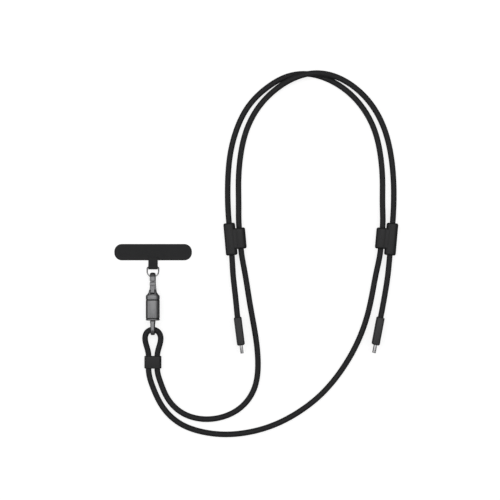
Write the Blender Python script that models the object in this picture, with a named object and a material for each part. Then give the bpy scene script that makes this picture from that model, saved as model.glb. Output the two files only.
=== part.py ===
# Charging cable lanyard, laid flat. One braided cable runs from plug to plug through two sliders and a
# keeper, and its small loop carries a swivel snap hook with a D-ring and an anchor pad.
# Metres. X runs across the lanyard, Y along it, and it lies on the surface z = 0.

import math

import bmesh
import bpy
import numpy as np
from mathutils import Matrix, Vector

MM = 0.001

# Clearances
GAP = 0.3 * MM
BORE_GAP = 0.4 * MM

# Cable
CORD_DIAMETER = 4.6 * MM
CORD_FLOOR_GAP = 0.05 * MM
CORD_TURN_PER_POINT = 17.5
CORD_DIAMETERS_PER_POINT = 6.0
CROSSING_GAP = 0.55 * MM

# Plugs: each lies on the edge of its housing, rear end at PLACE, nose turned from -Y
PLUG_LENGTH = 23.3 * MM
PLUG_THICKNESS = 6.5 * MM
PLUG_WIDTH = 11.0 * MM
PLUG_CORNER = 2.2 * MM
PLUG_REAR_ROUND = 0.9 * MM
PLUG_FRONT_ROUND = 0.6 * MM
PLUG_SOCKET_DEPTH = 3.0 * MM
SHELL_WIDTH = 8.3 * MM
SHELL_THICKNESS = 2.5 * MM
SHELL_WALL = 0.3 * MM
SHELL_REACH = 6.7 * MM
SHELL_SEAT = 2.0 * MM
LEFT_PLUG_PLACE = (-15.4 * MM, -17.9 * MM)
LEFT_PLUG_TURN = 7.2
RIGHT_PLUG_PLACE = (103.0 * MM, -17.9 * MM)
RIGHT_PLUG_TURN = -10.8

# Sliders: a long outer tube and a short inner one, side by side
SLIDER_TUBE = 9.7 * MM
SLIDER_LONG = 26.8 * MM
SLIDER_SHORT = 17.5 * MM
SLIDER_SPACING = 8.0 * MM
SLIDER_ROUND = 0.9 * MM
SLIDER_MOUTH = 0.4 * MM
SLIDER_WEB = 7.6 * MM
LEFT_SLIDER_PLACE = (-17.3 * MM, 47.05 * MM)
RIGHT_SLIDER_PLACE = (107.74 * MM, 47.05 * MM)
SLIDER_TURN = 5.0

# Keeper: KEEPER_DROP is from the middle of the swivel eye to its own middle
KEEPER_WIDTH = 14.1 * MM
KEEPER_LENGTH = 10.3 * MM
KEEPER_THICKNESS = 7.0 * MM
KEEPER_SPACING = 7.2 * MM
KEEPER_ROUND = 0.8 * MM
KEEPER_DROP = 27.14 * MM

# Clasp barrel: CLASP_PLACE is the middle of the collar's upper edge
CLASP_PLACE = (-85.5 * MM, 0.0 * MM)
BARREL_DIAMETER = 11.5 * MM
BARREL_CHAMFER = 0.35 * MM
BARREL_BORE = 7.2 * MM
COLLAR_LENGTH = 3.4 * MM
SLEEVE_LENGTH = 15.1 * MM
CAP_LENGTH = 1.7 * MM
CAP_CHAMFER = 0.7 * MM
HOOK_SPIGOT = 6.0 * MM
CAP_SPIGOT = 2.8 * MM

# Swivel eye
STEM_DIAMETER = 4.7 * MM
STEM_FOOT_DIAMETER = 3.8 * MM
EYE_DROP = 7.3 * MM
EYE_PLAY = 1.0 * MM
EYE_WALL = 1.8 * MM
EYE_THICKNESS = 3.6 * MM
EYE_HEAD_LENGTH = 2.6 * MM

# Hook
HOOK_HEIGHT = 19.1 * MM
HOOK_WIDTH = 4.7 * MM
HOOK_THICKNESS = 2.5 * MM
SHANK_SETBACK = 3.85 * MM
NOSE_FORWARD = 3.6 * MM
NOSE_END = 12.0 * MM
NECK_HEIGHT = 4.9 * MM
NECK_DEPTH = 10.0 * MM
NECK_WIDTH = 6.2 * MM

# Gate and its pin
GATE_PIN_HEIGHT = 3.0 * MM
GATE_WIDTH = 3.3 * MM
GATE_HEAD_LENGTH = 2.6 * MM
GATE_THICKNESS = 2.0 * MM
GATE_ROUND = 1.7 * MM
GATE_TIP_GAP = 0.5 * MM
PIN_DIAMETER = 1.4 * MM

# D-ring
RING_WIRE = 1.1 * MM
RING_WIDTH = 10.6 * MM
RING_PLAY = 0.55 * MM

# Pad and its folded tab
PAD_WIDTH = 64.3 * MM
PAD_HEIGHT = 13.6 * MM
PAD_THICKNESS = 1.0 * MM
PAD_CORNER = 6.3 * MM
PAD_RISE = 35.9 * MM
TAB_FOLD_END = 21.6 * MM
TAB_LAP = 2.4 * MM

# Facets
ROUND_SIDES = 32
BORE_SIDES = 20
CORNER_STEPS = 4
HALF_TURN_STEPS = 12

# Route of the cable between the pieces on it, chosen by hand: x and y in mm, and how far up the cable
# is, from 0 where it lies on the floor to 1 at the height of the stretch's highest piece or crossing.
# The runs inside the sliders, the keeper and the plugs are straight and are worked out from them.
LEFT_TAIL = [(-16.4, -8.0, 0.68), (-17.9, 5.7, 0.49), (-19.3, 19.8, 0.59)]
RIGHT_TAIL = [(109.1, 17.8, 0.59), (106.3, -0.5, 0.62)]
LOWER_ARCH = [
    (-23.4, 75.0, 0.22),
    (-23.4, 95.4, 0),
    (-21.6, 116.1, 0),
    (-16.4, 136.9, 0),
    (-5.8, 157.6, 0),
    (9.8, 172.8, 0),
    (26.4, 181.7, 0),
    (43.6, 183.5, 0),
    (61.7, 178.1, 0),
    (78.3, 166.8, 0),
    (89.7, 153.5, 0),
    (98.1, 136.9, 0),
    (103.0, 116.1, 0),
    (104.7, 95.4, 0),
    (104.7, 75.0, 0.22),
]
UPPER_ARCH = [
    (-14.5, 75.0, 0.11),
    (-14.6, 95.4, 0),
    (-12.9, 116.1, 0),
    (-8.0, 136.9, 0),
    (3.2, 157.6, 0.05),
    (16.1, 170.5, 0.38),
    (29.8, 179.0, 0.81),
    (43.6, 183.3, 1),
    (58.8, 183.0, 0.79),
    (73.7, 177.5, 0.36),
    (86.6, 168.2, 0.05),
    (98.7, 153.5, 0),
    (106.6, 136.9, 0),
    (111.7, 116.1, 0),
    (113.8, 95.4, 0),
    (113.9, 75.0, 0.11),
]
OUTER_LOOP = [
    (99.5, 19.0, 0.26),
    (93.2, -12.5, 0),
    (84.6, -37.4, 0),
    (70.4, -62.3, 0),
    (52.2, -83.5, 0),
    (36.8, -95.5, 0),
    (15.6, -106.9, 0),
    (-4.7, -113.0, 0),
    (-25.9, -115.1, 0),
    (-46.2, -112.6, 0),
    (-62.8, -106.2, 0),
    (-76.2, -94.1, 0),
    (-85.2, -76.9, 0.10),
]
# this one counts x and y from the middle of the swivel eye
EYE_LOOP = [
    (-5.4, -13.1, 0.52),
    (-6.4, -6.8, 0.75),
    (-5.1, -2.6, 0.9),
    (0.0, 0.0, 1),
    (5.1, -2.6, 0.9),
    (6.5, -6.8, 0.75),
    (5.5, -13.1, 0.52),
]
INNER_LOOP = [
    (-79.4, -71.5, 0.18),
    (-73.0, -85.8, 0),
    (-62.8, -96.3, 0),
    (-46.2, -102.2, 0),
    (-29.6, -101.1, 0),
    (-13.0, -93.0, 0),
    (-2.3, -78.9, 0),
    (1.5, -55.3, 0),
    (-0.6, -32.9, 0),
    (-4.9, -8.4, 0),
    (-9.6, 20.3, 0.26),
]

# Worked-out sizes
CORD_RADIUS = CORD_DIAMETER / 2
LYING = CORD_RADIUS + CORD_FLOOR_GAP
CROSSING = LYING + CORD_DIAMETER + CROSSING_GAP
BARREL_RADIUS = BARREL_DIAMETER / 2
CLASP_Z = BARREL_RADIUS
COLLAR_END = CLASP_PLACE[1] - COLLAR_LENGTH
SLEEVE_TOP = COLLAR_END - GAP
SLEEVE_END = SLEEVE_TOP - SLEEVE_LENGTH
CAP_TOP = SLEEVE_END - GAP
CAP_END = CAP_TOP - CAP_LENGTH
EYE_BORE = CORD_DIAMETER + EYE_PLAY
EYE_CENTRE = Vector((CLASP_PLACE[0], CAP_END - EYE_DROP, CLASP_Z))
KEEPER_CENTRE = Vector((EYE_CENTRE[0], EYE_CENTRE[1] - KEEPER_DROP, KEEPER_THICKNESS / 2))
GATE_PIN_FORWARD = NOSE_FORWARD + HOOK_THICKNESS / 2 - GATE_ROUND
PIN_CENTRE = Vector((CLASP_PLACE[0], CLASP_PLACE[1] + GATE_PIN_HEIGHT, CLASP_Z + GATE_PIN_FORWARD))
RING_FOOT = CLASP_PLACE[1] + HOOK_HEIGHT - HOOK_THICKNESS - RING_PLAY - RING_WIRE / 2
TAB_WIDTH = RING_WIDTH - 2 * (RING_WIRE + GAP)
TAB_FOLD_RADIUS = RING_WIRE / 2 + GAP + PAD_THICKNESS
BAR_CENTRE = Vector((CLASP_PLACE[0], CLASP_PLACE[1] + TAB_FOLD_END + TAB_FOLD_RADIUS, TAB_FOLD_RADIUS))


def clear_scene():
    for obj in list(bpy.data.objects):
        bpy.data.objects.remove(obj, do_unlink=True)


def finish(name, colour, roughness, metallic):
    """Principled material from a linear colour, a roughness and a metallic value."""
    material = bpy.data.materials.new(name)
    material.use_nodes = True
    shader = material.node_tree.nodes["Principled BSDF"]
    shader.inputs["Base Color"].default_value = (*colour, 1.0)
    shader.inputs["Roughness"].default_value = roughness
    shader.inputs["Metallic"].default_value = metallic
    return material


def add_object(name, mesh):
    obj = bpy.data.objects.new(name, mesh)
    bpy.context.scene.collection.objects.link(obj)
    return obj


def add_solid(name, shape):
    """Object from a closed bmesh, with its faces turned outwards."""
    bmesh.ops.remove_doubles(shape, verts=shape.verts, dist=0.001 * MM)
    bmesh.ops.recalc_face_normals(shape, faces=shape.faces)
    mesh = bpy.data.meshes.new(name)
    shape.to_mesh(mesh)
    shape.free()
    return add_object(name, mesh)


def dress(obj, material, sharp_angle=32.0):
    """Give a finished solid its material and its shading."""
    obj.data.materials.clear()
    obj.data.materials.append(material)
    obj.data.shade_smooth()
    obj.data.set_sharp_from_angle(angle=math.radians(sharp_angle))


def combine(obj, tool, operation):
    """Boolean of two closed solids, kept on the first; the second is used up."""
    modifier = obj.modifiers.new(operation.title(), "BOOLEAN")
    modifier.operation = operation
    modifier.solver = "EXACT"
    modifier.object = tool
    graph = bpy.context.evaluated_depsgraph_get()
    result = bpy.data.meshes.new_from_object(obj.evaluated_get(graph))
    obj.modifiers.clear()
    obj.data = result
    bpy.data.objects.remove(tool, do_unlink=True)


def turned(name, profile, sides, closed):
    """Body turned about the Y axis from rows of (radius, y); a closed profile leaves a bore."""
    shape = bmesh.new()
    row = [shape.verts.new((radius, along, 0.0)) for radius, along in profile]
    pairs = list(zip(row, row[1:]))
    if closed:
        pairs.append((row[-1], row[0]))
    edges = [shape.edges.new(pair) for pair in pairs]
    bmesh.ops.spin(
        shape,
        geom=row + edges,
        cent=(0.0, 0.0, 0.0),
        axis=(0.0, 1.0, 0.0),
        angle=2 * math.pi,
        steps=sides,
    )
    return add_solid(name, shape)


def loft(name, rings):
    """Skin over rings of equally many points, closed by a face at each end."""
    shape = bmesh.new()
    loops = [[shape.verts.new(point) for point in ring] for ring in rings]
    count = len(loops[0])
    for lower, upper in zip(loops, loops[1:]):
        for i in range(count):
            j = (i + 1) % count
            shape.faces.new((lower[i], lower[j], upper[j], upper[i]))
    shape.faces.new(loops[0])
    shape.faces.new(loops[-1])
    return add_solid(name, shape)


def rounded_outline(width, height, corner):
    """Points (u, v) round a rectangle whose corners are arcs."""
    points = []
    for k, (side_u, side_v) in enumerate(((1, 1), (-1, 1), (-1, -1), (1, -1))):
        centre_u = side_u * (width / 2 - corner)
        centre_v = side_v * (height / 2 - corner)
        for step in range(CORNER_STEPS + 1):
            angle = math.pi / 2 * (k + step / CORNER_STEPS)
            points.append((centre_u + corner * math.cos(angle), centre_v + corner * math.sin(angle)))
    return points


def oval_outline(half_width, half_height, power, count):
    """Points (u, v) round a superellipse."""
    points = []
    for i in range(count):
        angle = 2 * math.pi * (i + 0.5) / count
        cosine = math.cos(angle)
        sine = math.sin(angle)
        u = half_width * math.copysign(abs(cosine) ** (2 / power), cosine)
        v = half_height * math.copysign(abs(sine) ** (2 / power), sine)
        points.append((u, v))
    return points


def end_rounding(start, inward, radius, steps):
    """Rows (along, inset) over a rounded end, from its flat face to its full section."""
    rows = []
    for step in range(steps + 1):
        angle = math.pi / 2 * step / steps
        rows.append((start + inward * radius * (1 - math.cos(angle)), radius * (1 - math.sin(angle))))
    return rows


def rounded_bar(name, width, height, corner, start, end, start_round, end_round):
    """Bar along Y with a rounded rectangular section and rounded ends."""
    rows = end_rounding(start, 1, start_round, 3)
    rows += reversed(end_rounding(end, -1, end_round, 3))
    rings = []
    for along, inset in rows:
        outline = rounded_outline(width - 2 * inset, height - 2 * inset, corner - inset)
        rings.append([(u, along, v) for u, v in outline])
    return loft(name, rings)


def place_at(obj, x, y, z, turn=0.0):
    """Set a solid down by its object's location and its turn about Z, in degrees."""
    obj.matrix_world = Matrix.Translation((x, y, z)) @ Matrix.Rotation(math.radians(turn), 4, "Z")


def rod(name, radius, start, end, sides):
    """Plain round bar along Y."""
    return turned(name, [(0.0, start), (radius, start), (radius, end), (0.0, end)], sides, False)


# Sliders

def slider_tube(name, length):
    """One tube with its bore, round outer edges and a chamfered mouth at each end."""
    outer = SLIDER_TUBE / 2
    bore = CORD_RADIUS + BORE_GAP
    half = length / 2
    lower = [(outer - inset, along) for along, inset in end_rounding(-half, 1, SLIDER_ROUND, 3)]
    upper = [(outer - inset, along) for along, inset in reversed(end_rounding(half, -1, SLIDER_ROUND, 3))]
    mouth = [
        (bore + SLIDER_MOUTH, half),
        (bore, half - SLIDER_MOUTH),
        (bore, -half + SLIDER_MOUTH),
        (bore + SLIDER_MOUTH, -half),
    ]
    return turned(name, lower + upper + mouth, BORE_SIDES, True)


def slider_frame(place, side):
    """Place and turn of a slider; side is -1 for the left one, whose long tube is on the left."""
    return place[0], place[1], SLIDER_TUBE / 2, -side * SLIDER_TURN


def make_slider(name, place, side, material):
    long_tube = slider_tube(name, SLIDER_LONG)
    long_tube.data.transform(Matrix.Translation((side * SLIDER_SPACING / 2, 0.0, 0.0)))
    short_tube = slider_tube("short_tube", SLIDER_SHORT)
    short_tube.data.transform(Matrix.Translation((-side * SLIDER_SPACING / 2, 0.0, 0.0)))
    combine(long_tube, short_tube, "UNION")
    web_width = SLIDER_SPACING - 2 * (CORD_RADIUS + BORE_GAP) - GAP
    web_length = SLIDER_SHORT - 2 * SLIDER_ROUND
    corner = web_width / 8
    web = rounded_bar("web", web_width, SLIDER_WEB, corner, -web_length / 2, web_length / 2, corner / 2, corner / 2)
    combine(long_tube, web, "UNION")
    place_at(long_tube, *slider_frame(place, side))
    dress(long_tube, material)


def slider_bore(place, side, tube_side, length):
    """Lower and upper end of a slider's bore and the direction from one to the other."""
    x, y, z, turn = slider_frame(place, side)
    turning = Matrix.Rotation(math.radians(turn), 3, "Z")
    middle = Vector((x, y, z)) + turning @ Vector((tube_side * SLIDER_SPACING / 2, 0.0, 0.0))
    along = turning @ Vector((0.0, 1.0, 0.0))
    return middle - along * length / 2, middle + along * length / 2, along


# Keeper

def make_keeper(material):
    half = KEEPER_LENGTH / 2
    corner = KEEPER_THICKNESS / 2 - GAP
    keeper = rounded_bar(
        "loop_keeper", KEEPER_WIDTH, KEEPER_THICKNESS, corner, -half, half, KEEPER_ROUND, KEEPER_ROUND
    )
    for side in (-1, 1):
        bore = rod("bore", CORD_RADIUS + BORE_GAP, -KEEPER_LENGTH, KEEPER_LENGTH, BORE_SIDES)
        bore.data.transform(Matrix.Translation((side * KEEPER_SPACING / 2, 0.0, 0.0)))
        combine(keeper, bore, "DIFFERENCE")
    place_at(keeper, *KEEPER_CENTRE)
    dress(keeper, material)


def keeper_bore(side):
    """Lower and upper end of one of the keeper's bores."""
    middle = KEEPER_CENTRE + Vector((side * KEEPER_SPACING / 2, 0.0, 0.0))
    half = Vector((0.0, KEEPER_LENGTH / 2, 0.0))
    return middle - half, middle + half


# Plugs, built with their rear end at y = 0 and their nose towards -Y

def shell_cup(name):
    """Thin metal mouth, open at the front and closed at its seat in the housing."""
    corner = SHELL_THICKNESS / 2 - GAP / 2
    inner_corner = corner - SHELL_WALL
    back = -PLUG_LENGTH + SHELL_SEAT
    front = -PLUG_LENGTH - SHELL_REACH
    inner_thickness = SHELL_THICKNESS - 2 * SHELL_WALL
    inner_width = SHELL_WIDTH - 2 * SHELL_WALL
    rows = [
        (back, SHELL_THICKNESS, SHELL_WIDTH, corner),
        (front, SHELL_THICKNESS, SHELL_WIDTH, corner),
        (front, inner_thickness, inner_width, inner_corner),
        (back - SHELL_SEAT / 2, inner_thickness, inner_width, inner_corner),
    ]
    rings = []
    for along, width, height, radius in rows:
        rings.append([(u, along, v) for u, v in rounded_outline(width, height, radius)])
    return loft(name, rings)


def make_plug(side_name, place, turn, housing_material, shell_material):
    housing = rounded_bar(
        side_name + "_plug_housing",
        PLUG_THICKNESS,
        PLUG_WIDTH,
        PLUG_CORNER,
        -PLUG_LENGTH,
        0.0,
        PLUG_FRONT_ROUND,
        PLUG_REAR_ROUND,
    )
    socket = rod("socket", CORD_RADIUS + BORE_GAP, -PLUG_SOCKET_DEPTH, PLUG_SOCKET_DEPTH, BORE_SIDES)
    combine(housing, socket, "DIFFERENCE")
    pocket_bottom = -PLUG_LENGTH + SHELL_SEAT + GAP
    pocket = rounded_bar(
        "pocket",
        SHELL_THICKNESS + 2 * GAP,
        SHELL_WIDTH + 2 * GAP,
        SHELL_THICKNESS / 2,
        -PLUG_LENGTH - SHELL_SEAT,
        pocket_bottom,
        GAP / 2,
        GAP / 2,
    )
    combine(housing, pocket, "DIFFERENCE")
    place_at(housing, place[0], place[1], PLUG_WIDTH / 2, turn)
    dress(housing, housing_material)
    shell = shell_cup(side_name + "_plug_shell")
    place_at(shell, place[0], place[1], PLUG_WIDTH / 2, turn)
    dress(shell, shell_material)


def plug_entry(place, turn):
    """Point in a plug's socket where the cable ends, and the direction out of it."""
    outward = Matrix.Rotation(math.radians(turn), 3, "Z") @ Vector((0.0, 1.0, 0.0))
    rear = Vector((place[0], place[1], PLUG_WIDTH / 2))
    return rear - outward * (PLUG_SOCKET_DEPTH - GAP), rear, outward


# Cable

def spline_slopes(points, knots, start, end):
    """Derivative at each point of the cubic spline whose curvature is continuous."""
    count = len(points)
    matrix = np.zeros((count, count))
    right = np.zeros((count, 3))
    matrix[0, 0] = 1.0
    matrix[-1, -1] = 1.0
    right[0] = start
    right[-1] = end
    for i in range(1, count - 1):
        before = 1.0 / (knots[i] - knots[i - 1])
        after = 1.0 / (knots[i + 1] - knots[i])
        matrix[i, i - 1 : i + 2] = before, 2 * (before + after), after
        right[i] = 3 * (before**2 * (points[i] - points[i - 1]) + after**2 * (points[i + 1] - points[i]))
    return np.linalg.solve(matrix, right)


def smooth_stretch(points, start, end, steps=24):
    """Fine points of a smooth curve through the points, tangent to a direction at each end."""
    points = np.array([tuple(point) for point in points])
    knots = np.concatenate(([0.0], np.cumsum(np.linalg.norm(np.diff(points, axis=0), axis=1))))
    slopes = spline_slopes(points, knots, start, end)
    t = np.linspace(0.0, 1.0, steps, endpoint=False)[:, None]
    pieces = []
    for i in range(len(points) - 1):
        span = knots[i + 1] - knots[i]
        pieces.append(
            (1 + 2 * t) * (1 - t) ** 2 * points[i]
            + t * (1 - t) ** 2 * span * slopes[i]
            + t**2 * (3 - 2 * t) * points[i + 1]
            + t**2 * (t - 1) * span * slopes[i + 1]
        )
    pieces.append(points[-1:])
    fine = np.concatenate(pieces)
    fine[:, 2] = np.maximum(fine[:, 2], LYING)
    return fine


def thin_out(fine, window=9):
    """Keep few points of a fine curve: close together in a bend, a few diameters apart elsewhere."""
    steps = np.diff(fine, axis=0)
    lengths = np.linalg.norm(steps, axis=1)
    headings = steps / lengths[:, None]
    cosines = np.clip(np.sum(headings[1:] * headings[:-1], axis=1), -1.0, 1.0)
    turns = np.degrees(np.arccos(cosines)) / CORD_TURN_PER_POINT
    turns = np.convolve(np.concatenate((turns, turns[-1:])), np.ones(window) / window, mode="same")
    runs = lengths / (CORD_DIAMETERS_PER_POINT * CORD_DIAMETER)
    cost = np.concatenate(([0.0], np.cumsum(np.maximum(runs, turns))))
    count = max(int(round(cost[-1])), 2)
    wanted = np.linspace(0.0, cost[-1], count + 1)
    return np.stack([np.interp(wanted, cost, fine[:, k]) for k in range(3)], axis=1)


def route(rows, high, origin=(0.0, 0.0)):
    """A stretch's own points in metres; high is the height that its rows' last number counts up to."""
    points = []
    for x, y, rise in rows:
        points.append(Vector((origin[0] + x * MM, origin[1] + y * MM, LYING + rise * (high - LYING))))
    return points


def cable_points():
    """Points of the whole cable, from the left plug to the right one."""
    left_end, left_rear, left_out = plug_entry(LEFT_PLUG_PLACE, LEFT_PLUG_TURN)
    right_end, right_rear, right_out = plug_entry(RIGHT_PLUG_PLACE, RIGHT_PLUG_TURN)
    left_long = slider_bore(LEFT_SLIDER_PLACE, -1, -1, SLIDER_LONG)
    left_short = slider_bore(LEFT_SLIDER_PLACE, -1, 1, SLIDER_SHORT)
    right_long = slider_bore(RIGHT_SLIDER_PLACE, 1, 1, SLIDER_LONG)
    right_short = slider_bore(RIGHT_SLIDER_PLACE, 1, -1, SLIDER_SHORT)
    keeper_left = keeper_bore(-1)
    keeper_right = keeper_bore(1)
    up = Vector((0.0, 1.0, 0.0))
    left_tail = route(LEFT_TAIL, PLUG_WIDTH / 2)
    lower_arch = route(LOWER_ARCH, SLIDER_TUBE / 2)
    outer_loop = route(OUTER_LOOP, SLIDER_TUBE / 2)
    eye_loop = route(EYE_LOOP, CLASP_Z, EYE_CENTRE)
    inner_loop = route(INNER_LOOP, SLIDER_TUBE / 2)
    upper_arch = route(UPPER_ARCH, CROSSING)
    right_tail = route(RIGHT_TAIL, PLUG_WIDTH / 2)
    # a row for each free stretch: where it starts, its own points, where it ends, its two headings
    stretches = [
        (left_rear, left_tail, left_long[0], left_out, left_long[2]),
        (left_long[1], lower_arch, right_short[1], left_long[2], -right_short[2]),
        (right_short[0], outer_loop, keeper_left[0], -right_short[2], up),
        (keeper_left[1], eye_loop, keeper_right[1], up, -up),
        (keeper_right[0], inner_loop, left_short[0], -up, left_short[2]),
        (left_short[1], upper_arch, right_long[1], left_short[2], -right_long[2]),
        (right_long[0], right_tail, right_rear, -right_long[2], -right_out),
    ]
    points = [np.array([tuple(left_end)])]
    for start, middle, end, leaving, arriving in stretches:
        points.append(thin_out(smooth_stretch([start] + middle + [end], leaving, arriving)))
    points.append(np.array([tuple(right_end)]))
    return np.concatenate(points)


def make_cable(material):
    points = cable_points()
    curve = bpy.data.curves.new("charging_cable", "CURVE")
    curve.dimensions = "3D"
    curve.bevel_depth = CORD_RADIUS
    curve.bevel_resolution = 3
    curve.use_fill_caps = True
    spline = curve.splines.new("POLY")
    spline.points.add(len(points) - 1)
    for slot, point in zip(spline.points, points):
        slot.co = (*point, 1.0)
    curve.materials.append(material)
    add_object("charging_cable", curve)


# Clasp barrel and swivel eye

def make_sleeve(material):
    outer = BARREL_RADIUS
    bore = BARREL_BORE / 2
    profile = [
        (bore, SLEEVE_END),
        (outer - BARREL_CHAMFER, SLEEVE_END),
        (outer, SLEEVE_END + BARREL_CHAMFER),
        (outer, SLEEVE_TOP - BARREL_CHAMFER),
        (outer - BARREL_CHAMFER, SLEEVE_TOP),
        (bore, SLEEVE_TOP),
    ]
    sleeve = turned("barrel_sleeve", profile, ROUND_SIDES, True)
    place_at(sleeve, CLASP_PLACE[0], 0.0, CLASP_Z)
    dress(sleeve, material)


def make_end_cap(material):
    outer = BARREL_RADIUS
    spigot = BARREL_BORE / 2 - GAP
    hole = STEM_DIAMETER / 2 + GAP
    profile = [
        (hole, CAP_END),
        (outer - CAP_CHAMFER, CAP_END),
        (outer, CAP_END + CAP_CHAMFER),
        (outer, CAP_TOP - BARREL_CHAMFER),
        (outer - BARREL_CHAMFER, CAP_TOP),
        (spigot, CAP_TOP),
        (spigot, CAP_TOP + CAP_SPIGOT),
        (hole, CAP_TOP + CAP_SPIGOT),
    ]
    cap = turned("barrel_end_cap", profile, ROUND_SIDES, True)
    place_at(cap, CLASP_PLACE[0], 0.0, CLASP_Z)
    dress(cap, material)


def make_swivel_eye(material):
    stem = STEM_DIAMETER / 2
    foot = STEM_FOOT_DIAMETER / 2
    head = BARREL_BORE / 2 - BORE_GAP
    head_start = CAP_TOP + CAP_SPIGOT + GAP
    ring_middle = EYE_BORE / 2 + EYE_WALL / 2
    profile = [
        (0.0, EYE_CENTRE[1] + ring_middle),
        (foot, EYE_CENTRE[1] + ring_middle),
        (foot, EYE_CENTRE[1] + ring_middle + EYE_WALL / 2),
        (stem, CAP_END),
        (stem, head_start),
        (head, head_start),
        (head, head_start + EYE_HEAD_LENGTH),
        (0.0, head_start + EYE_HEAD_LENGTH),
    ]
    eye = turned("swivel_eye", profile, BORE_SIDES, False)
    # the ring is an oval section turned about the X axis
    section = oval_outline(EYE_WALL / 2, EYE_THICKNESS / 2, 2.3, 12)
    ring = turned("ring", [(ring_middle + u, v) for u, v in section], ROUND_SIDES, True)
    ring.data.transform(Matrix.Rotation(-math.pi / 2, 4, "Z"))
    ring.data.transform(Matrix.Translation((0.0, EYE_CENTRE[1], 0.0)))
    combine(eye, ring, "UNION")
    place_at(eye, CLASP_PLACE[0], 0.0, CLASP_Z)
    dress(eye, material)


# Hook, built about the barrel's axis: X across, Y up the clasp, Z towards the gate

def hook_path():
    """Middle line of shank, arch and nose as rows (y, z, heading), heading in radians from +Y."""
    radius = (SHANK_SETBACK + NOSE_FORWARD) / 2
    middle_z = (NOSE_FORWARD - SHANK_SETBACK) / 2
    arch_y = HOOK_HEIGHT - HOOK_THICKNESS / 2 - radius
    rows = [(NECK_HEIGHT / 2, -SHANK_SETBACK, 0.0)]
    for step in range(HALF_TURN_STEPS + 1):
        angle = math.pi * step / HALF_TURN_STEPS
        rows.append((arch_y + radius * math.sin(angle), middle_z - radius * math.cos(angle), angle))
    rows.append((NOSE_END, NOSE_FORWARD, math.pi))
    return rows


def hook_bend():
    section = oval_outline(HOOK_WIDTH / 2, HOOK_THICKNESS / 2, 2.6, 16)
    rings = []
    for y, z, heading in hook_path():
        across_y = -math.sin(heading)
        across_z = math.cos(heading)
        rings.append([(u, y + v * across_y, z + v * across_z) for u, v in section])
    return loft("clasp_hook", rings)


def hook_neck():
    """Flared neck: a round foot as wide as the barrel, drawn in to two cheeks."""
    # share of the height, of the way in from the barrel's width and from its depth, and the power of
    # the superellipse, which goes from round to squarish
    rows = [
        (-0.08, 0.03, 0.0, 2.0),
        (0.02, 0.10, 0.06, 2.05),
        (0.12, 0.30, 0.25, 2.15),
        (0.24, 0.48, 0.50, 2.3),
        (0.42, 0.72, 0.80, 2.55),
        (0.62, 0.90, 0.95, 2.8),
        (0.88, 1.0, 1.0, 2.8),
        (1.0, 1.10, 1.35, 2.8),
    ]
    rings = []
    for height, in_width, in_depth, power in rows:
        half_width = (BARREL_DIAMETER - in_width * (BARREL_DIAMETER - NECK_WIDTH)) / 2
        half_depth = (BARREL_DIAMETER - in_depth * (BARREL_DIAMETER - NECK_DEPTH)) / 2
        outline = oval_outline(half_width, half_depth, power, 28)
        rings.append([(u, height * NECK_HEIGHT, v) for u, v in outline])
    return loft("neck", rings)


def hook_foot():
    """Collar with the spigot that holds it in the sleeve."""
    outer = BARREL_RADIUS
    spigot = BARREL_BORE / 2 - GAP
    profile = [
        (0.0, 0.0),
        (outer - BARREL_CHAMFER, 0.0),
        (outer, -BARREL_CHAMFER),
        (outer, BARREL_CHAMFER - COLLAR_LENGTH),
        (outer - BARREL_CHAMFER, -COLLAR_LENGTH),
        (spigot, -COLLAR_LENGTH),
        (spigot, -COLLAR_LENGTH - HOOK_SPIGOT),
        (0.0, -COLLAR_LENGTH - HOOK_SPIGOT),
    ]
    return turned("foot", profile, ROUND_SIDES, False)


def box(name, low, high):
    """Plain block between two corners."""
    outline = [(low[0], low[2]), (high[0], low[2]), (high[0], high[2]), (low[0], high[2])]
    return loft(name, [[(x, y, z) for x, z in outline] for y in (low[1], high[1])])


def cross_rod(name, radius, half_length, y, z):
    """Round bar along X."""
    bar = rod(name, radius, -half_length, half_length, BORE_SIDES)
    bar.data.transform(Matrix.Rotation(-math.pi / 2, 4, "Z"))
    bar.data.transform(Matrix.Translation((0.0, y, z)))
    return bar


def make_hook(material):
    hook = hook_bend()
    combine(hook, hook_neck(), "UNION")
    combine(hook, hook_foot(), "UNION")
    slot_half = GATE_WIDTH / 2 + GAP
    slot_floor = GATE_PIN_HEIGHT - GATE_ROUND - GAP
    slot_back = GATE_PIN_FORWARD - GATE_ROUND - GAP
    slot = box(
        "slot",
        (-slot_half, slot_floor, slot_back),
        (slot_half, NOSE_END - GAP, BARREL_DIAMETER),
    )
    combine(hook, slot, "DIFFERENCE")
    pin_hole = cross_rod(
        "pin_hole", PIN_DIAMETER / 2 + GAP, BARREL_DIAMETER, GATE_PIN_HEIGHT, GATE_PIN_FORWARD
    )
    combine(hook, pin_hole, "DIFFERENCE")
    place_at(hook, CLASP_PLACE[0], CLASP_PLACE[1], CLASP_Z)
    dress(hook, material)


def gate_rows():
    """Rows (y, half width, back, front) up the gate, measured from its pin."""
    tip = NOSE_END - GATE_TIP_GAP - GATE_PIN_HEIGHT
    front = GATE_ROUND
    back = front - GATE_THICKNESS
    shoulder = tip - GATE_HEAD_LENGTH
    arm = GATE_WIDTH / 2
    head = HOOK_WIDTH / 2
    rounding = GATE_THICKNESS / 4
    rows = []
    for angle in (12, 30, 50, 70, 90):
        half = GATE_ROUND * math.sin(math.radians(angle))
        rows.append((-GATE_ROUND * math.cos(math.radians(angle)), arm, -half, half))
    rows += [
        (0.8 * GATE_ROUND, arm, 0.75 * -GATE_ROUND, front),
        (1.8 * GATE_ROUND, arm, back, front),
        (shoulder - rounding, arm, back, front),
        (shoulder, head, back, front),
        (tip - rounding, head, back, front),
        (tip, head - rounding / 2, back + rounding / 2, front - rounding),
    ]
    return rows


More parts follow.
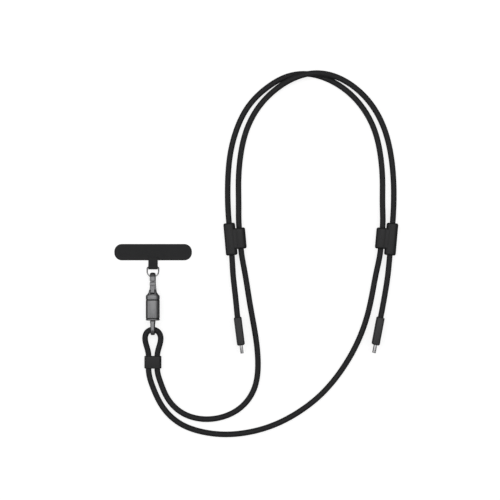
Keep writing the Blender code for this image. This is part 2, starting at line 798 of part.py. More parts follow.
def make_gate(material):
    """Gate lever; its object sits on the pin's axis."""
    rings = []
    for y, half, back, front in gate_rows():
        corner = min(0.25 * (front - back), 0.3 * half)
        outline = rounded_outline(2 * half, front - back, corner)
        rings.append([(u, y, v + (front + back) / 2) for u, v in outline])
    gate = loft("clasp_gate", rings)
    combine(gate, cross_rod("gate_hole", PIN_DIAMETER / 2 + GAP, BARREL_RADIUS, 0.0, 0.0), "DIFFERENCE")
    place_at(gate, *PIN_CENTRE)
    dress(gate, material)


def make_gate_pin(material):
    pin = cross_rod("gate_pin", PIN_DIAMETER / 2, NECK_WIDTH / 2, 0.0, 0.0)
    place_at(pin, *PIN_CENTRE)
    dress(pin, material)


# D-ring and pad

def make_d_ring(material):
    """Wire D: a straight bar in the tab's fold and a half round through the hook."""
    half = (RING_WIDTH - RING_WIRE) / 2
    foot_z = CLASP_Z + (NOSE_FORWARD - SHANK_SETBACK) / 2
    drop = Vector((0.0, RING_FOOT - BAR_CENTRE[1], foot_z - BAR_CENTRE[2]))
    length = drop.length
    down = drop / length
    across = Vector((1.0, 0.0, 0.0))
    corner = RING_WIRE
    flat = []
    for step in range(CORNER_STEPS):
        angle = math.pi / 2 * step / (CORNER_STEPS - 1)
        flat.append((half - corner + corner * math.sin(angle), corner - corner * math.cos(angle)))
    for step in range(HALF_TURN_STEPS + 1):
        angle = math.pi * step / HALF_TURN_STEPS
        flat.append((half * math.cos(angle), length - half + half * math.sin(angle)))
    for step in range(CORNER_STEPS):
        angle = math.pi / 2 * (1 - step / (CORNER_STEPS - 1))
        flat.append((corner - half - corner * math.sin(angle), corner - corner * math.cos(angle)))
    curve = bpy.data.curves.new("d_ring", "CURVE")
    curve.dimensions = "3D"
    curve.bevel_depth = RING_WIRE / 2
    curve.bevel_resolution = 2
    spline = curve.splines.new("POLY")
    spline.points.add(len(flat) - 1)
    spline.use_cyclic_u = True
    for slot, (u, v) in zip(spline.points, flat):
        slot.co = (*(BAR_CENTRE + across * u + down * v), 1.0)
    curve.materials.append(material)
    add_object("d_ring", curve)


def make_pad(material):
    """Flat pad with round ends, and a tab whose fold holds the D-ring's bar."""
    pad_y = CLASP_PLACE[1] + PAD_RISE
    edge = PAD_THICKNESS / 5
    rings = []
    for z, inset in ((0.0, edge), (edge, 0.0), (PAD_THICKNESS - edge, 0.0), (PAD_THICKNESS, edge)):
        outline = rounded_outline(PAD_WIDTH - 2 * inset, PAD_HEIGHT - 2 * inset, PAD_CORNER - inset)
        rings.append([(u, pad_y + v, z) for u, v in outline])
    pad = loft("anchor_pad", rings)
    bar_y = BAR_CENTRE[1]
    lap_y = pad_y - PAD_HEIGHT / 2 + TAB_LAP
    side = [(lap_y, 0.0)]
    for step in range(HALF_TURN_STEPS + 1):
        angle = -math.pi / 2 - math.pi * step / HALF_TURN_STEPS
        side.append((bar_y + TAB_FOLD_RADIUS * math.cos(angle), TAB_FOLD_RADIUS * (1 + math.sin(angle))))
    side.append((bar_y + TAB_FOLD_RADIUS, 0.85 * 2 * TAB_FOLD_RADIUS))
    side.append((lap_y - TAB_LAP, 2 * PAD_THICKNESS))
    side.append((lap_y, 2 * PAD_THICKNESS))
    tab = loft("tab", [[(x, y, z) for y, z in side] for x in (-TAB_WIDTH / 2, TAB_WIDTH / 2)])
    combine(pad, tab, "UNION")
    hole = cross_rod("hole", RING_WIRE / 2 + GAP, TAB_WIDTH, bar_y, TAB_FOLD_RADIUS)
    combine(pad, hole, "DIFFERENCE")
    place_at(pad, CLASP_PLACE[0], 0.0, 0.0)
    dress(pad, material)


def build():
    clear_scene()
    braid = finish("black_braid", (0.018, 0.019, 0.021), 0.85, 0.0)
    soft_black = finish("satin_black_plastic", (0.028, 0.028, 0.030), 0.5, 0.0)
    housing = finish("plug_plastic", (0.035, 0.036, 0.038), 0.45, 0.0)
    gunmetal = finish("gunmetal", (0.20, 0.20, 0.21), 0.32, 1.0)
    steel = finish("polished_steel", (0.62, 0.62, 0.63), 0.2, 1.0)
    pad_cloth = finish("black_pad", (0.027, 0.027, 0.028), 0.8, 0.0)
    make_cable(braid)
    make_plug("left", LEFT_PLUG_PLACE, LEFT_PLUG_TURN, housing, steel)
    make_plug("right", RIGHT_PLUG_PLACE, RIGHT_PLUG_TURN, housing, steel)
    make_slider("left_slider", LEFT_SLIDER_PLACE, -1, soft_black)
    make_slider("right_slider", RIGHT_SLIDER_PLACE, 1, soft_black)
    make_keeper(soft_black)
    make_swivel_eye(gunmetal)
    make_sleeve(gunmetal)
    make_end_cap(gunmetal)
    make_hook(gunmetal)
    make_gate(gunmetal)
    make_gate_pin(gunmetal)
    make_d_ring(steel)
    make_pad(pad_cloth)


build()
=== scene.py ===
import math

import bpy
import numpy as np
from mathutils import Matrix, Vector


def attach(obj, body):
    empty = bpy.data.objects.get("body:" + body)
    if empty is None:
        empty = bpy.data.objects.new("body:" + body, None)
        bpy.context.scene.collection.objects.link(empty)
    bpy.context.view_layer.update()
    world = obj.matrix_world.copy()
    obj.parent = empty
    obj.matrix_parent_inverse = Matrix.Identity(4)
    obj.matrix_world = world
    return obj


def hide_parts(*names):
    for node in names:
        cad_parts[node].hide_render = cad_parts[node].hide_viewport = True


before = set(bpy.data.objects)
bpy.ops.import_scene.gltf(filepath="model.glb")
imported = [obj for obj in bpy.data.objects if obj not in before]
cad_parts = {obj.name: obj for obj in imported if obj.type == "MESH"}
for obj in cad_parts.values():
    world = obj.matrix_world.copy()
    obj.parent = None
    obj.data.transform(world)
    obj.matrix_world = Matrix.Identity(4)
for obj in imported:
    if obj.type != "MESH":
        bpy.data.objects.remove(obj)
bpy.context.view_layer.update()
mm = 0.001
edgeAngle = 35  # degrees between two faces from which their edge counts as sharp
onAxis = 0.01  # radius at which a turned shape closes on its axis
overrun = 2.0  # how far a cutting shape reaches past what it cuts, in millimetres
print("frame loaded:", len(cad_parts), "nodes")


# every grid below is an array (rows, columns, 3) in millimetres
def lerp(start, end, share):
    # straight mix: start at share 0, end at share 1
    return start + (end - start) * share


def unit(vectors):
    # each vector over its own length
    return vectors / np.linalg.norm(vectors, axis=-1, keepdims=True)


def smoothThrough(points, headIn=None, headOut=None, steps=20):
    # cubic spline whose curvature is continuous: its slopes solve one band matrix, and each span is
    # the Hermite blend (1+2t)(1-t)^2 p0 + t(1-t)^2 h m0 + t^2(3-2t) p1 + t^2(t-1) h m1
    points = np.asarray(points, float)
    knots = np.concatenate(([0.0], np.cumsum(np.linalg.norm(np.diff(points, axis=0), axis=1))))
    spans = np.diff(knots)
    count = len(points)
    matrix = np.eye(count)
    right = np.zeros_like(points)
    right[0] = (points[1] - points[0]) / spans[0] if headIn is None else headIn
    right[-1] = (points[-1] - points[-2]) / spans[-1] if headOut is None else headOut
    inner = np.arange(1, count - 1)
    before, after = 1 / spans[:-1], 1 / spans[1:]
    matrix[inner, inner - 1], matrix[inner, inner + 1] = before, after
    matrix[inner, inner] = 2 * (before + after)
    legs = np.diff(points, axis=0)
    right[inner] = 3 * (before[:, None] ** 2 * legs[:-1] + after[:, None] ** 2 * legs[1:])
    slopes = np.linalg.solve(matrix, right)
    t = np.linspace(0, 1, steps, endpoint=False)[None, :, None]
    h = spans[:, None, None]
    spline = (
        (1 + 2 * t) * (1 - t) ** 2 * points[:-1, None]
        + t * (1 - t) ** 2 * h * slopes[:-1, None]
        + t**2 * (3 - 2 * t) * points[1:, None]
        + t**2 * (t - 1) * h * slopes[1:, None]
    )
    return np.concatenate((spline.reshape(-1, points.shape[1]), points[-1:]))


def evenly(path, step):
    # the same line with its points a fixed run apart
    run = np.concatenate(([0.0], np.cumsum(np.linalg.norm(np.diff(path, axis=0), axis=1))))
    wanted = np.linspace(0, run[-1], max(int(round(run[-1] / step)), 2) + 1)
    return np.stack([np.interp(wanted, run, path[:, k]) for k in range(path.shape[1])], axis=1), wanted


def carried(path, section, reference, closed=False):
    # p + u * side + v * up, where side is heading x reference and up is side x heading
    if closed:
        heading = unit(np.roll(path, -1, axis=0) - np.roll(path, 1, axis=0))
    else:
        heading = unit(np.gradient(path, axis=0))
    side = unit(np.cross(heading, np.broadcast_to(reference, heading.shape)))
    up = np.cross(side, heading)
    section = np.broadcast_to(section, (len(path),) + np.shape(section)[-2:])
    return path[:, None] + section[..., :1] * side[:, None] + section[..., 1:] * up[:, None]


def turned(profile, sides=64):
    # rows (radius, y) turned about the Y axis: (r cos a, y, r sin a)
    profile = np.asarray(profile, float)
    angle = np.linspace(0, 2 * np.pi, sides, endpoint=False)
    radius, along = profile[:, :1], profile[:, 1:]
    return np.stack((radius * np.cos(angle), along + 0 * angle, radius * np.sin(angle)), axis=-1)


def roundedBox(width, height, corner, quarter=10):
    # corner arcs of a rectangle, a quarter turn each, as rows (u, v)
    angle = (np.arange(4 * quarter) + 0.5) / quarter * np.pi / 2
    signU = np.where((angle < np.pi / 2) | (angle > 1.5 * np.pi), 1, -1)
    signV = np.where(angle < np.pi, 1, -1)
    return np.stack(
        (
            signU * (width / 2 - corner) + corner * np.cos(angle),
            signV * (height / 2 - corner) + corner * np.sin(angle),
        ),
        axis=-1,
    )


def oval(halfU, halfV, power, count=32):
    # superellipse: |u|^n + |v|^n = 1
    angle = (np.arange(count) + 0.5) / count * 2 * np.pi
    cosine, sine = np.cos(angle), np.sin(angle)
    return np.stack(
        (
            halfU * np.sign(cosine) * np.abs(cosine) ** (2 / power),
            halfV * np.sign(sine) * np.abs(sine) ** (2 / power),
        ),
        axis=-1,
    )


def quarterRound(radius, steps=6):
    # rows (along, inset) from a flat end into the full section
    angle = np.linspace(0, np.pi / 2, steps + 1)
    return radius * (1 - np.cos(angle)), radius * (1 - np.sin(angle))


def boxRows(rows, quarter=10):
    # rows (y, width, height, corner) as rings across the Y axis
    rings = [np.insert(roundedBox(w, h, c, quarter), 1, y, axis=1) for y, w, h, c in rows]
    return np.array(rings)


def placed(points, x, y, z, turn=0.0):
    # turned about Z in degrees, then moved
    angle = math.radians(turn)
    cosine, sine = math.cos(angle), math.sin(angle)
    spin = np.array([[cosine, -sine, 0], [sine, cosine, 0], [0, 0, 1]])
    return points @ spin.T + (x, y, z)


def gridFaces(rows, columns, closeRows=False):
    # quads (i, j), (i, j+1), (i+1, j+1), (i+1, j), wrapped round the columns and, where closed, the rows
    i, j = np.meshgrid(np.arange(rows if closeRows else rows - 1), np.arange(columns), indexing="ij")
    nextI, nextJ = (i + 1) % rows, (j + 1) % columns
    corners = (i * columns + j, i * columns + nextJ, nextI * columns + nextJ, nextI * columns + j)
    return np.stack(corners, axis=-1).reshape(-1, 4)


def insideOut(points, faces):
    # signed volume below zero: a . (b x c) summed over the two triangles of each quad
    a, b, c, d = (points[faces[:, k]] for k in range(4))
    return np.sum(a * np.cross(b, c)) + np.sum(a * np.cross(c, d)) < 0


def tubeMesh(name, grids, closeRows=False, run=None):
    # one mesh from closed tubes; an open end gets a flat lid, and run is each row's place along the UV map
    points, faces, lids, offset = [], [], [], 0
    for grid in grids:
        grid = np.asarray(grid, float) * mm
        rows, columns = grid.shape[:2]
        flat = grid.reshape(-1, 3)
        quads = gridFaces(rows, columns, closeRows)
        flip = insideOut(flat - flat.mean(axis=0), quads)
        faces.append((quads[:, ::-1] if flip else quads) + offset)
        if not closeRows:
            first, last = np.arange(columns)[::-1], np.arange(columns) + (rows - 1) * columns
            lids += [((lid[::-1] if flip else lid) + offset).tolist() for lid in (first, last)]
        points.append(flat)
        offset += len(flat)
    mesh = bpy.data.meshes.new(name)
    mesh.from_pydata(np.concatenate(points), [], np.concatenate(faces).tolist() + lids)
    if run is not None:
        i, j = np.divmod(np.arange((rows - 1) * columns), columns)
        corners = [(i, j), (i, j + 1), (i + 1, j + 1), (i + 1, j)][:: -1 if flip else 1]
        pairs = np.stack([np.stack((run[a], b / columns), axis=-1) for a, b in corners], axis=1)
        values = np.zeros((len(mesh.loops), 2), np.float32)
        values[: pairs.size // 2] = pairs.reshape(-1, 2)
        mesh.uv_layers.new(name="along").data.foreach_set("uv", values.ravel())
    return mesh


def finishPiece(name, mesh, finish, body, stands=(), sharp=edgeAngle):
    # the mesh as an object of the frame: its finish, its body, and the solids that it stands for
    mesh.materials.clear()
    mesh.materials.append(finish)
    mesh.shade_smooth()
    mesh.set_sharp_from_angle(angle=math.radians(sharp))
    piece = bpy.data.objects.new(name, mesh)
    bpy.context.scene.collection.objects.link(piece)
    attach(piece, body)
    if stands:
        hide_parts(*stands)
    return piece


def buildPiece(
    name, grids, finish, body, stands=(), sharp=edgeAngle, closeRows=False, run=None,
):
    # tubes straight to a finished piece
    return finishPiece(name, tubeMesh(name, grids, closeRows, run), finish, body, stands, sharp)


def cut(grids, toolGrids, place):
    # closed tubes less other closed tubes, as one mesh moved to its place in millimetres
    base = bpy.data.objects.new("base", tubeMesh("base", grids))
    tool = bpy.data.objects.new("tool", tubeMesh("tool", toolGrids))
    for thing in (base, tool):
        bpy.context.scene.collection.objects.link(thing)
    modifier = base.modifiers.new("cut", "BOOLEAN")
    modifier.operation, modifier.solver, modifier.object = "DIFFERENCE", "EXACT", tool
    mesh = bpy.data.meshes.new_from_object(base.evaluated_get(bpy.context.evaluated_depsgraph_get()))
    mesh.transform(Matrix.Translation([v * mm for v in place]))
    for thing in (base, tool):
        bpy.data.objects.remove(thing)
    return mesh


def softEdges(piece, width, segments):
    # every sharp edge rounded by a bevel of that width in millimetres
    bevel = piece.modifiers.new("edges", "BEVEL")
    bevel.width, bevel.segments = width * mm, segments
    bevel.limit_method, bevel.angle_limit = "ANGLE", math.radians(edgeAngle)
    bevel.harden_normals = True


class Value:
    # wraps a socket, so that plain arithmetic on it adds Math nodes
    def __init__(self, finish, socket):
        self.finish, self.socket = finish, socket

    def math(self, operation, *values):
        return self.finish.node("ShaderNodeMath", {"operation": operation}, dict(enumerate(values)))

    def __add__(self, other):
        return self.math("ADD", self, other)

    def __radd__(self, other):
        return self.math("ADD", other, self)

    def __sub__(self, other):
        return self.math("SUBTRACT", self, other)

    def __rsub__(self, other):
        return self.math("SUBTRACT", other, self)

    def __mul__(self, other):
        return self.math("MULTIPLY", self, other)

    def __rmul__(self, other):
        return self.math("MULTIPLY", other, self)

    def __truediv__(self, other):
        return self.math("DIVIDE", self, other)

    def __rtruediv__(self, other):
        return self.math("DIVIDE", other, self)

    def __pow__(self, other):
        return self.math("POWER", self, other)

    def floor(self):
        return self.math("FLOOR", self)

    def fraction(self):
        return self.math("FRACT", self)

    def sine(self):
        return self.math("SINE", self)

    def above(self, other):
        return self.math("GREATER_THAN", self, other)


class Finish:
    # one material: every node comes from node(type, settings, values or links of its sockets)
    def __init__(self, name, colour, roughness, metallic=0.0, **constants):
        self.material = bpy.data.materials.new(name)
        self.material.use_nodes = True
        self.tree = self.material.node_tree
        self.shader = self.tree.nodes["Principled BSDF"]
        self.feed("Base Color", (*colour, 1.0))
        self.feed("Roughness", roughness)
        self.feed("Metallic", metallic)
        for socket, value in constants.items():
            self.feed(socket.replace("_", " "), value)

    def feed(self, socket, value):
        self.join(self.shader.inputs[socket], value)

    def join(self, socket, value):
        if isinstance(value, Value):
            self.tree.links.new(value.socket, socket)
        else:
            socket.default_value = value

    def node(self, kind, settings=None, values=None, output=0):
        made = self.tree.nodes.new(kind)
        for key, value in (settings or {}).items():
            setattr(made, key, value)
        for key, value in (values or {}).items():
            self.join(made.inputs[key], value)
        return Value(self, made.outputs[output])

    def place(self):
        return self.node("ShaderNodeTexCoord", output="Object")

    def split(self, vector):
        return [self.node("ShaderNodeSeparateXYZ", None, {0: vector}, k) for k in range(3)]

    def noise(self, scale, vector=None, detail=3.0, roughness=0.55):
        values = {"Vector": vector or self.place(), "Scale": scale, "Detail": detail, "Roughness": roughness}
        return self.node("ShaderNodeTexNoise", None, values, "Fac")

    def mixed(self, share, first, second):
        return self.node(
            "ShaderNodeMix",
            {"data_type": "RGBA", "clamp_factor": True},
            {0: share, 6: (*first, 1.0), 7: (*second, 1.0)},
            2,
        )

    def bump(self, height, depth, strength):
        values = {"Height": height, "Distance": depth * mm, "Strength": strength}
        self.feed("Normal", self.node("ShaderNodeBump", None, values))


def braidFinish(look):
    # two families of strands, a = v N + u / pitch and b = v N - u / pitch, pass over two and under two: one is
    # on top where the strand numbers add up to 2 or 3 in every 4. Across a strand of share f the crown is
    # 1 - (2 f - 1)^2, and sines on it are its yarns
    finish = Finish("blackBraid", look["colour"], look["roughness"], Specular_IOR_Level=look["gloss"])
    along, around, _ = finish.split(finish.node("ShaderNodeUVMap", {"uv_map": "along"}))
    right = around * look["strands"] + along / (look["pitch"] * mm)
    left = around * look["strands"] - along / (look["pitch"] * mm)
    over = ((right.floor() + left.floor()) / 4).fraction().above(0.49)
    crown = [1 - (2 * side.fraction() - 1) ** 2 for side in (right, left)]
    yarns = [0.5 + 0.5 * (side * (look["yarns"] * 2 * math.pi)).sine() for side in (right, left)]
    ridge = [top * (1 - look["yarnShare"]) + yarn * look["yarnShare"] for top, yarn in zip(crown, yarns)]
    height = ridge[0] * over + ridge[1] * (1 - over)
    patches = finish.noise(look["patches"], detail=4.0)
    share = height * look["mix"][0] + patches * look["mix"][1]
    start, byHeight, byPatches = look["roughen"]
    # the colour darkens with the strands' height into the valleys between them, which is painted shade; the patches
    # are the yarn's own tone
    finish.feed("Base Color", finish.mixed(share, look["valley"], look["crown"]))
    finish.feed("Roughness", look["roughness"] + start + height * byHeight + patches * byPatches)
    finish.bump(height, *look["bump"])
    return finish.material


def plasticFinish(name, look):
    # fine spark-eroded grain, slightly shinier where it has been handled
    finish = Finish(name, look["colour"], look["roughness"], Specular_IOR_Level=look["gloss"])
    grain = finish.noise(look["grain"], detail=2.0)
    wear = finish.noise(look["patches"], detail=4.0)
    start, byWear = look["roughen"]
    finish.feed("Base Color", finish.mixed(wear, look["colour"], look["worn"]))
    finish.feed("Roughness", look["roughness"] + start + byWear * wear)
    finish.bump(grain, *look["bump"])
    return finish.material


def metalFinish(name, look):
    # plated metal: drawn lines, which are noise stretched along one axis, faint mottling and fine scratches
    finish = Finish(name, look["colour"], look["roughness"], 1.0)
    stretched = finish.node("ShaderNodeMapping", None, {"Vector": finish.place(), "Scale": look["stretch"]})
    lines = finish.noise(1.0, stretched)
    mottle = finish.noise(look["patches"], detail=4.0)
    share = lines * look["mix"][0] + mottle * look["mix"][1]
    start, byLines, byMottle = look["roughen"]
    finish.feed("Base Color", finish.mixed(share, look["colour"], look["worn"]))
    finish.feed("Roughness", look["roughness"] + start + byLines * lines + byMottle * mottle)
    finish.bump(lines, *look["bump"])
    return finish.material


def padFinish(look):
    # close plain weave under a thin coat: sines of x and y multiplied, so that warp and weft take turns
    finish = Finish("blackPad", look["colour"], look["roughness"], Specular_IOR_Level=look["gloss"])
    x, y, _ = finish.split(finish.place())
    warp, weft = ((side * (math.pi / (look["thread"] * mm))).sine() for side in (x, y))
    weave = 0.5 + 0.5 * warp * weft
    patches = finish.noise(look["patches"], detail=5.0)
    share = weave * look["mix"][0] + patches * look["mix"][1]
    start, byPatches = look["roughen"]
    finish.feed("Base Color", finish.mixed(share, look["colour"], look["worn"]))
    finish.feed("Roughness", look["roughness"] + start + byPatches * patches)
    finish.bump(weave * look["relief"][0] + patches * look["relief"][1], *look["bump"])
    return finish.material


# mix holds each pattern's share in the colour, roughen what is added to the roughness at first and by each
# pattern, patches and grain the scales of the noise, and bump its depth in millimetres and its strength
looks = {
    "braid": {
        # the valley colour is painted shade between the strands, the crown colour is the strands' tops
        "colour": (0.018, 0.018, 0.020), "valley": (0.005, 0.005, 0.006), "crown": (0.025, 0.025, 0.027),
        "mix": (0.75, 0.35), "roughness": 0.55, "roughen": (0.1, -0.16, 0.06), "gloss": 0.3, "patches": 90.0,
        "strands": 12, "pitch": 1.5, "yarns": 4, "yarnShare": 0.2, "bump": (0.14, 1.0),
    },
    "slider": {
        "colour": (0.010, 0.010, 0.011), "worn": (0.017, 0.017, 0.018), "roughness": 0.42,
        "roughen": (-0.06, 0.12), "gloss": 0.34, "patches": 160.0, "grain": 4200.0, "bump": (0.02, 0.5),
    },
    "plug": {
        "colour": (0.017, 0.017, 0.018), "worn": (0.026, 0.026, 0.028), "roughness": 0.42,
        "roughen": (-0.06, 0.12), "gloss": 0.45, "patches": 160.0, "grain": 5200.0, "bump": (0.02, 0.5),
    },
    "gunmetal": {
        "colour": (0.19, 0.19, 0.195), "worn": (0.27, 0.27, 0.275), "mix": (0.3, 0.7), "roughness": 0.34,
        "roughen": (-0.07, 0.1, 0.06), "patches": 350.0, "stretch": (60.0, 2200.0, 60.0),
        "bump": (0.004, 0.6),
    },
    "steel": {
        "colour": (0.50, 0.50, 0.51), "worn": (0.62, 0.62, 0.62), "mix": (0.3, 0.7), "roughness": 0.24,
        "roughen": (-0.07, 0.1, 0.06), "patches": 350.0, "stretch": (900.0, 140.0, 900.0),
        "bump": (0.004, 0.6),
    },
    "pad": {
        "colour": (0.023, 0.023, 0.024), "worn": (0.040, 0.040, 0.041), "mix": (0.5, 0.5), "roughness": 0.72,
        "roughen": (-0.05, 0.1), "gloss": 0.15, "patches": 60.0, "thread": 0.42, "relief": (0.6, 0.4),
        "bump": (0.05, 0.6),
    },
}
looks["insert"] = {**looks["plug"], "roughness": 0.6}
# the core's near-black colour is painted shade for the gaps between collar, sleeve and cap
looks["core"] = {
    **looks["gunmetal"], "colour": (0.03, 0.03, 0.03), "worn": (0.045, 0.045, 0.045), "roughness": 0.6,
}
looks["gold"] = {**looks["steel"], "colour": (0.83, 0.6, 0.22), "worn": (0.88, 0.66, 0.3)}
blackBraid = braidFinish(looks["braid"])
sliderPlastic = plasticFinish("sliderPlastic", looks["slider"])
plugPlastic = plasticFinish("plugPlastic", looks["plug"])
gunmetal = metalFinish("gunmetal", looks["gunmetal"])
steel = metalFinish("steel", looks["steel"])
blackPad = padFinish(looks["pad"])
insertPlastic = plasticFinish("insertPlastic", looks["insert"])
# painted shade: this near-black finish darkens the barrel's two gaps
paintedShadeCore = metalFinish("paintedShadeCore", looks["core"])
goldContacts = metalFinish("goldContacts", looks["gold"])
print("finishes ready:", len(looks))


# the cable comes first, because everything else sits on it. Each stretch gives the heading at its start and
# at its end, then the points that it runs through, in metres; the other sizes are in millimetres
cableRoute = {
    "diameter": 4.75,
    "step": 0.95,
    "sides": 40,
    "leftEnd": (-0.01506, -0.02058, 0.0055),
    "rightEnd": (0.10249, -0.02055, 0.0055),
    "stretches": [
        ((-0.12533, 0.99211, 0), (-0.08716, 0.99619, 0), [
            (-0.0154, -0.0179, 0.0055), (-0.0164, -0.008, 0.00449), (-0.0179, 0.0057, 0.00389),
            (-0.0193, 0.0198, 0.00421), (-0.02012, 0.03335, 0.00485),
        ]),
        ((-0.08716, 0.99619, 0), (-0.08716, -0.99619, 0), [
            (-0.02245, 0.06005, 0.00485), (-0.0234, 0.075, 0.0029), (-0.0234, 0.0954, 0.00235),
            (-0.0216, 0.1161, 0.00235), (-0.0164, 0.1369, 0.00235), (-0.0058, 0.1576, 0.00235),
            (0.0098, 0.1728, 0.00235), (0.0264, 0.1817, 0.00235), (0.0436, 0.1835, 0.00235),
            (0.0617, 0.1781, 0.00235), (0.0783, 0.1668, 0.00235), (0.0897, 0.1535, 0.00235),
            (0.0981, 0.1369, 0.00235), (0.103, 0.1161, 0.00235), (0.1047, 0.0954, 0.00235),
            (0.1047, 0.075, 0.0029), (0.10452, 0.05612, 0.00485),
        ]),
        ((-0.08716, -0.99619, 0), (0, 1, 0), [
            (0.10299, 0.03868, 0.00485), (0.0995, 0.019, 0.003), (0.0932, -0.0125, 0.00235),
            (0.0846, -0.0374, 0.00235), (0.0704, -0.0623, 0.00235), (0.0522, -0.0835, 0.00235),
            (0.0368, -0.0955, 0.00235), (0.0156, -0.1069, 0.00235), (-0.0047, -0.113, 0.00235),
            (-0.0259, -0.1151, 0.00235), (-0.0462, -0.1126, 0.00235), (-0.0628, -0.1062, 0.00235),
            (-0.0762, -0.0941, 0.00235), (-0.0852, -0.0769, 0.0026), (-0.0891, -0.06039, 0.0035),
        ]),
        ((0, 1, 0), (0, -1, 0), [
            (-0.0891, -0.05009, 0.0035), (-0.0909, -0.0412, 0.00412), (-0.0919, -0.0349, 0.0049),
            (-0.0906, -0.0307, 0.00541), (-0.0855, -0.0281, 0.00575), (-0.0804, -0.0307, 0.00541),
            (-0.079, -0.0349, 0.0049), (-0.08, -0.0412, 0.00412), (-0.0819, -0.05009, 0.0035),
        ]),
        ((0, -1, 0), (-0.08716, 0.99619, 0), [
            (-0.0819, -0.06039, 0.0035), (-0.0794, -0.0715, 0.0028), (-0.073, -0.0858, 0.00235),
            (-0.0628, -0.0963, 0.00235), (-0.0462, -0.1022, 0.00235), (-0.0296, -0.1011, 0.00235),
            (-0.013, -0.093, 0.00235), (-0.0023, -0.0789, 0.00235), (0.0015, -0.0553, 0.00235),
            (-0.0006, -0.0329, 0.00235), (-0.0049, -0.0084, 0.00235), (-0.0096, 0.0203, 0.003),
            (-0.01255, 0.03868, 0.00485),
        ]),
        ((-0.08716, 0.99619, 0), (-0.08716, -0.99619, 0), [
            (-0.01408, 0.05612, 0.00485), (-0.0145, 0.075, 0.00292), (-0.0146, 0.0954, 0.00235),
            (-0.0129, 0.1161, 0.00235), (-0.008, 0.1369, 0.00235), (0.0032, 0.1576, 0.00261),
            (0.0161, 0.1705, 0.00431), (0.0298, 0.179, 0.00652), (0.0436, 0.1833, 0.0075),
            (0.0588, 0.183, 0.00642), (0.0737, 0.1775, 0.0042), (0.0866, 0.1682, 0.00261),
            (0.0987, 0.1535, 0.00235), (0.1066, 0.1369, 0.00235), (0.1117, 0.1161, 0.00235),
            (0.1138, 0.0954, 0.00235), (0.1139, 0.075, 0.00292), (0.11289, 0.06005, 0.00485),
        ]),
        ((-0.08716, -0.99619, 0), (-0.18738, -0.98229, 0), [
            (0.11056, 0.03335, 0.00485), (0.1091, 0.0178, 0.00421), (0.1063, -0.0005, 0.0043),
            (0.103, -0.0179, 0.0055),
        ]),
    ],
}


def cableLine(route):
    # the stretches in order, joined by the straight runs inside the sliders and the keeper
    lines = [np.array([route["leftEnd"]])]
    for headIn, headOut, points in route["stretches"]:
        stretch = smoothThrough(points, headIn, headOut)
        stretch[:, 2] = np.maximum(stretch[:, 2], route["diameter"] / 2 * mm)
        lines.append(stretch)
    lines.append(np.array([route["rightEnd"]]))
    return evenly(np.concatenate(lines) / mm, route["step"])


cablePath, cableRun = cableLine(cableRoute)
aroundCable = np.linspace(0, 2 * np.pi, cableRoute["sides"], endpoint=False)
cableSection = cableRoute["diameter"] / 2 * np.stack((np.cos(aroundCable), np.sin(aroundCable)), axis=-1)
braidedCable = buildPiece(
    "braidedCable", [carried(cablePath, cableSection, (0, 0, 1))], blackBraid, "cord_side",
    ["charging_cable"], 60, run=cableRun * mm,
)
print("cable:", round(cableRun[-1] * mm, 3), "m")


slider = {
    "tube": 9.7, "long": 26.8, "short": 17.5, "spacing": 8.0, "bore": 5.4, "edge": 1.55, "mouth": 0.35,
    "valley": 3.8, "waist": (1.15, 1.6), "webShort": 0.02, "turn": 5.0,
    "places": {"left": (-17.3, 47.05, -1), "right": (107.74, 47.05, 1)},
}


def tubeProfile(outer, bore, half, edge, mouth):
    # closed profile (radius, y): bore, rolled mouth, flat end, rounded edge, side, and the same back
    along, inset = quarterRound(edge, 8)
    lip, flare = quarterRound(mouth, 5)
    upper = np.concatenate((
        np.stack((bore + flare[::-1], half - lip[::-1]), axis=-1),
        np.stack((outer - inset, half - along), axis=-1),
    ))
    return np.concatenate((upper, upper[::-1] * (1, -1)))


def valleyFill(s):
    # the web between the tubes: its top is an arc that touches both tubes and dips to the valley's height.
    # With outer radius R, half spacing h and dip d, the arc's radius is (h^2 + d^2 - R^2) / (2 (R - d))
    outer, half, dip = s["tube"] / 2, s["spacing"] / 2, s["valley"]
    arc = (half**2 + dip**2 - outer**2) / (2 * (outer - dip))
    reach = math.asin(half / (outer + arc))
    swing = np.linspace(-reach, reach, 15)
    top = np.stack((arc * np.sin(swing), dip + arc - arc * np.cos(swing)), axis=-1)
    waist = np.array(s["waist"]) * [(1, 1), (1, -1)]
    section = np.concatenate((top, waist, top[::-1] * (1, -1), waist[::-1] * (-1, 1)))
    along, inset = quarterRound(s["edge"], 8)
    halfLength = s["short"] / 2 - s["webShort"]
    rows = np.concatenate((-halfLength + along, (halfLength - along)[::-1]))
    shrink = 1 - np.concatenate((inset, inset[::-1]))[:, None] / dip
    across, height = (np.broadcast_to(part, (len(rows), len(section))) for part in section.T)
    return np.stack((across, rows[:, None] + 0 * across, height * shrink), axis=-1)


def buildSlider(name, s):
    # a long and a short tube side by side, the long one on the outer side, with the web between them
    x, y, side = s["places"][name]
    outer, slotName = s["tube"] / 2, "satin_black_plastic"
    seat = (x, y, outer, -side * s["turn"])
    grids = []
    for length, direction in ((s["long"], side), (s["short"], -side)):
        tube = turned(tubeProfile(outer, s["bore"] / 2, length / 2, s["edge"], s["mouth"]))
        grids.append(placed(tube + (direction * s["spacing"] / 2, 0, 0), *seat))
    web = placed(valleyFill(s), *seat)
    node = name + "_slider"
    buildPiece(name + "Slider", grids, sliderPlastic, "cord_side", [node], closeRows=True)
    buildPiece(name + "SliderWeb", [web], sliderPlastic, "cord_side", [], 60)


for side in slider["places"]:
    buildSlider(side, slider)

keeper = {
    "width": 14.1, "length": 10.3, "thickness": 7.0, "spacing": 7.2, "bore": 5.4, "corner": 2.9, "edge": 0.5,
    "mouth": 0.16, "place": (-85.5, -55.24),
}


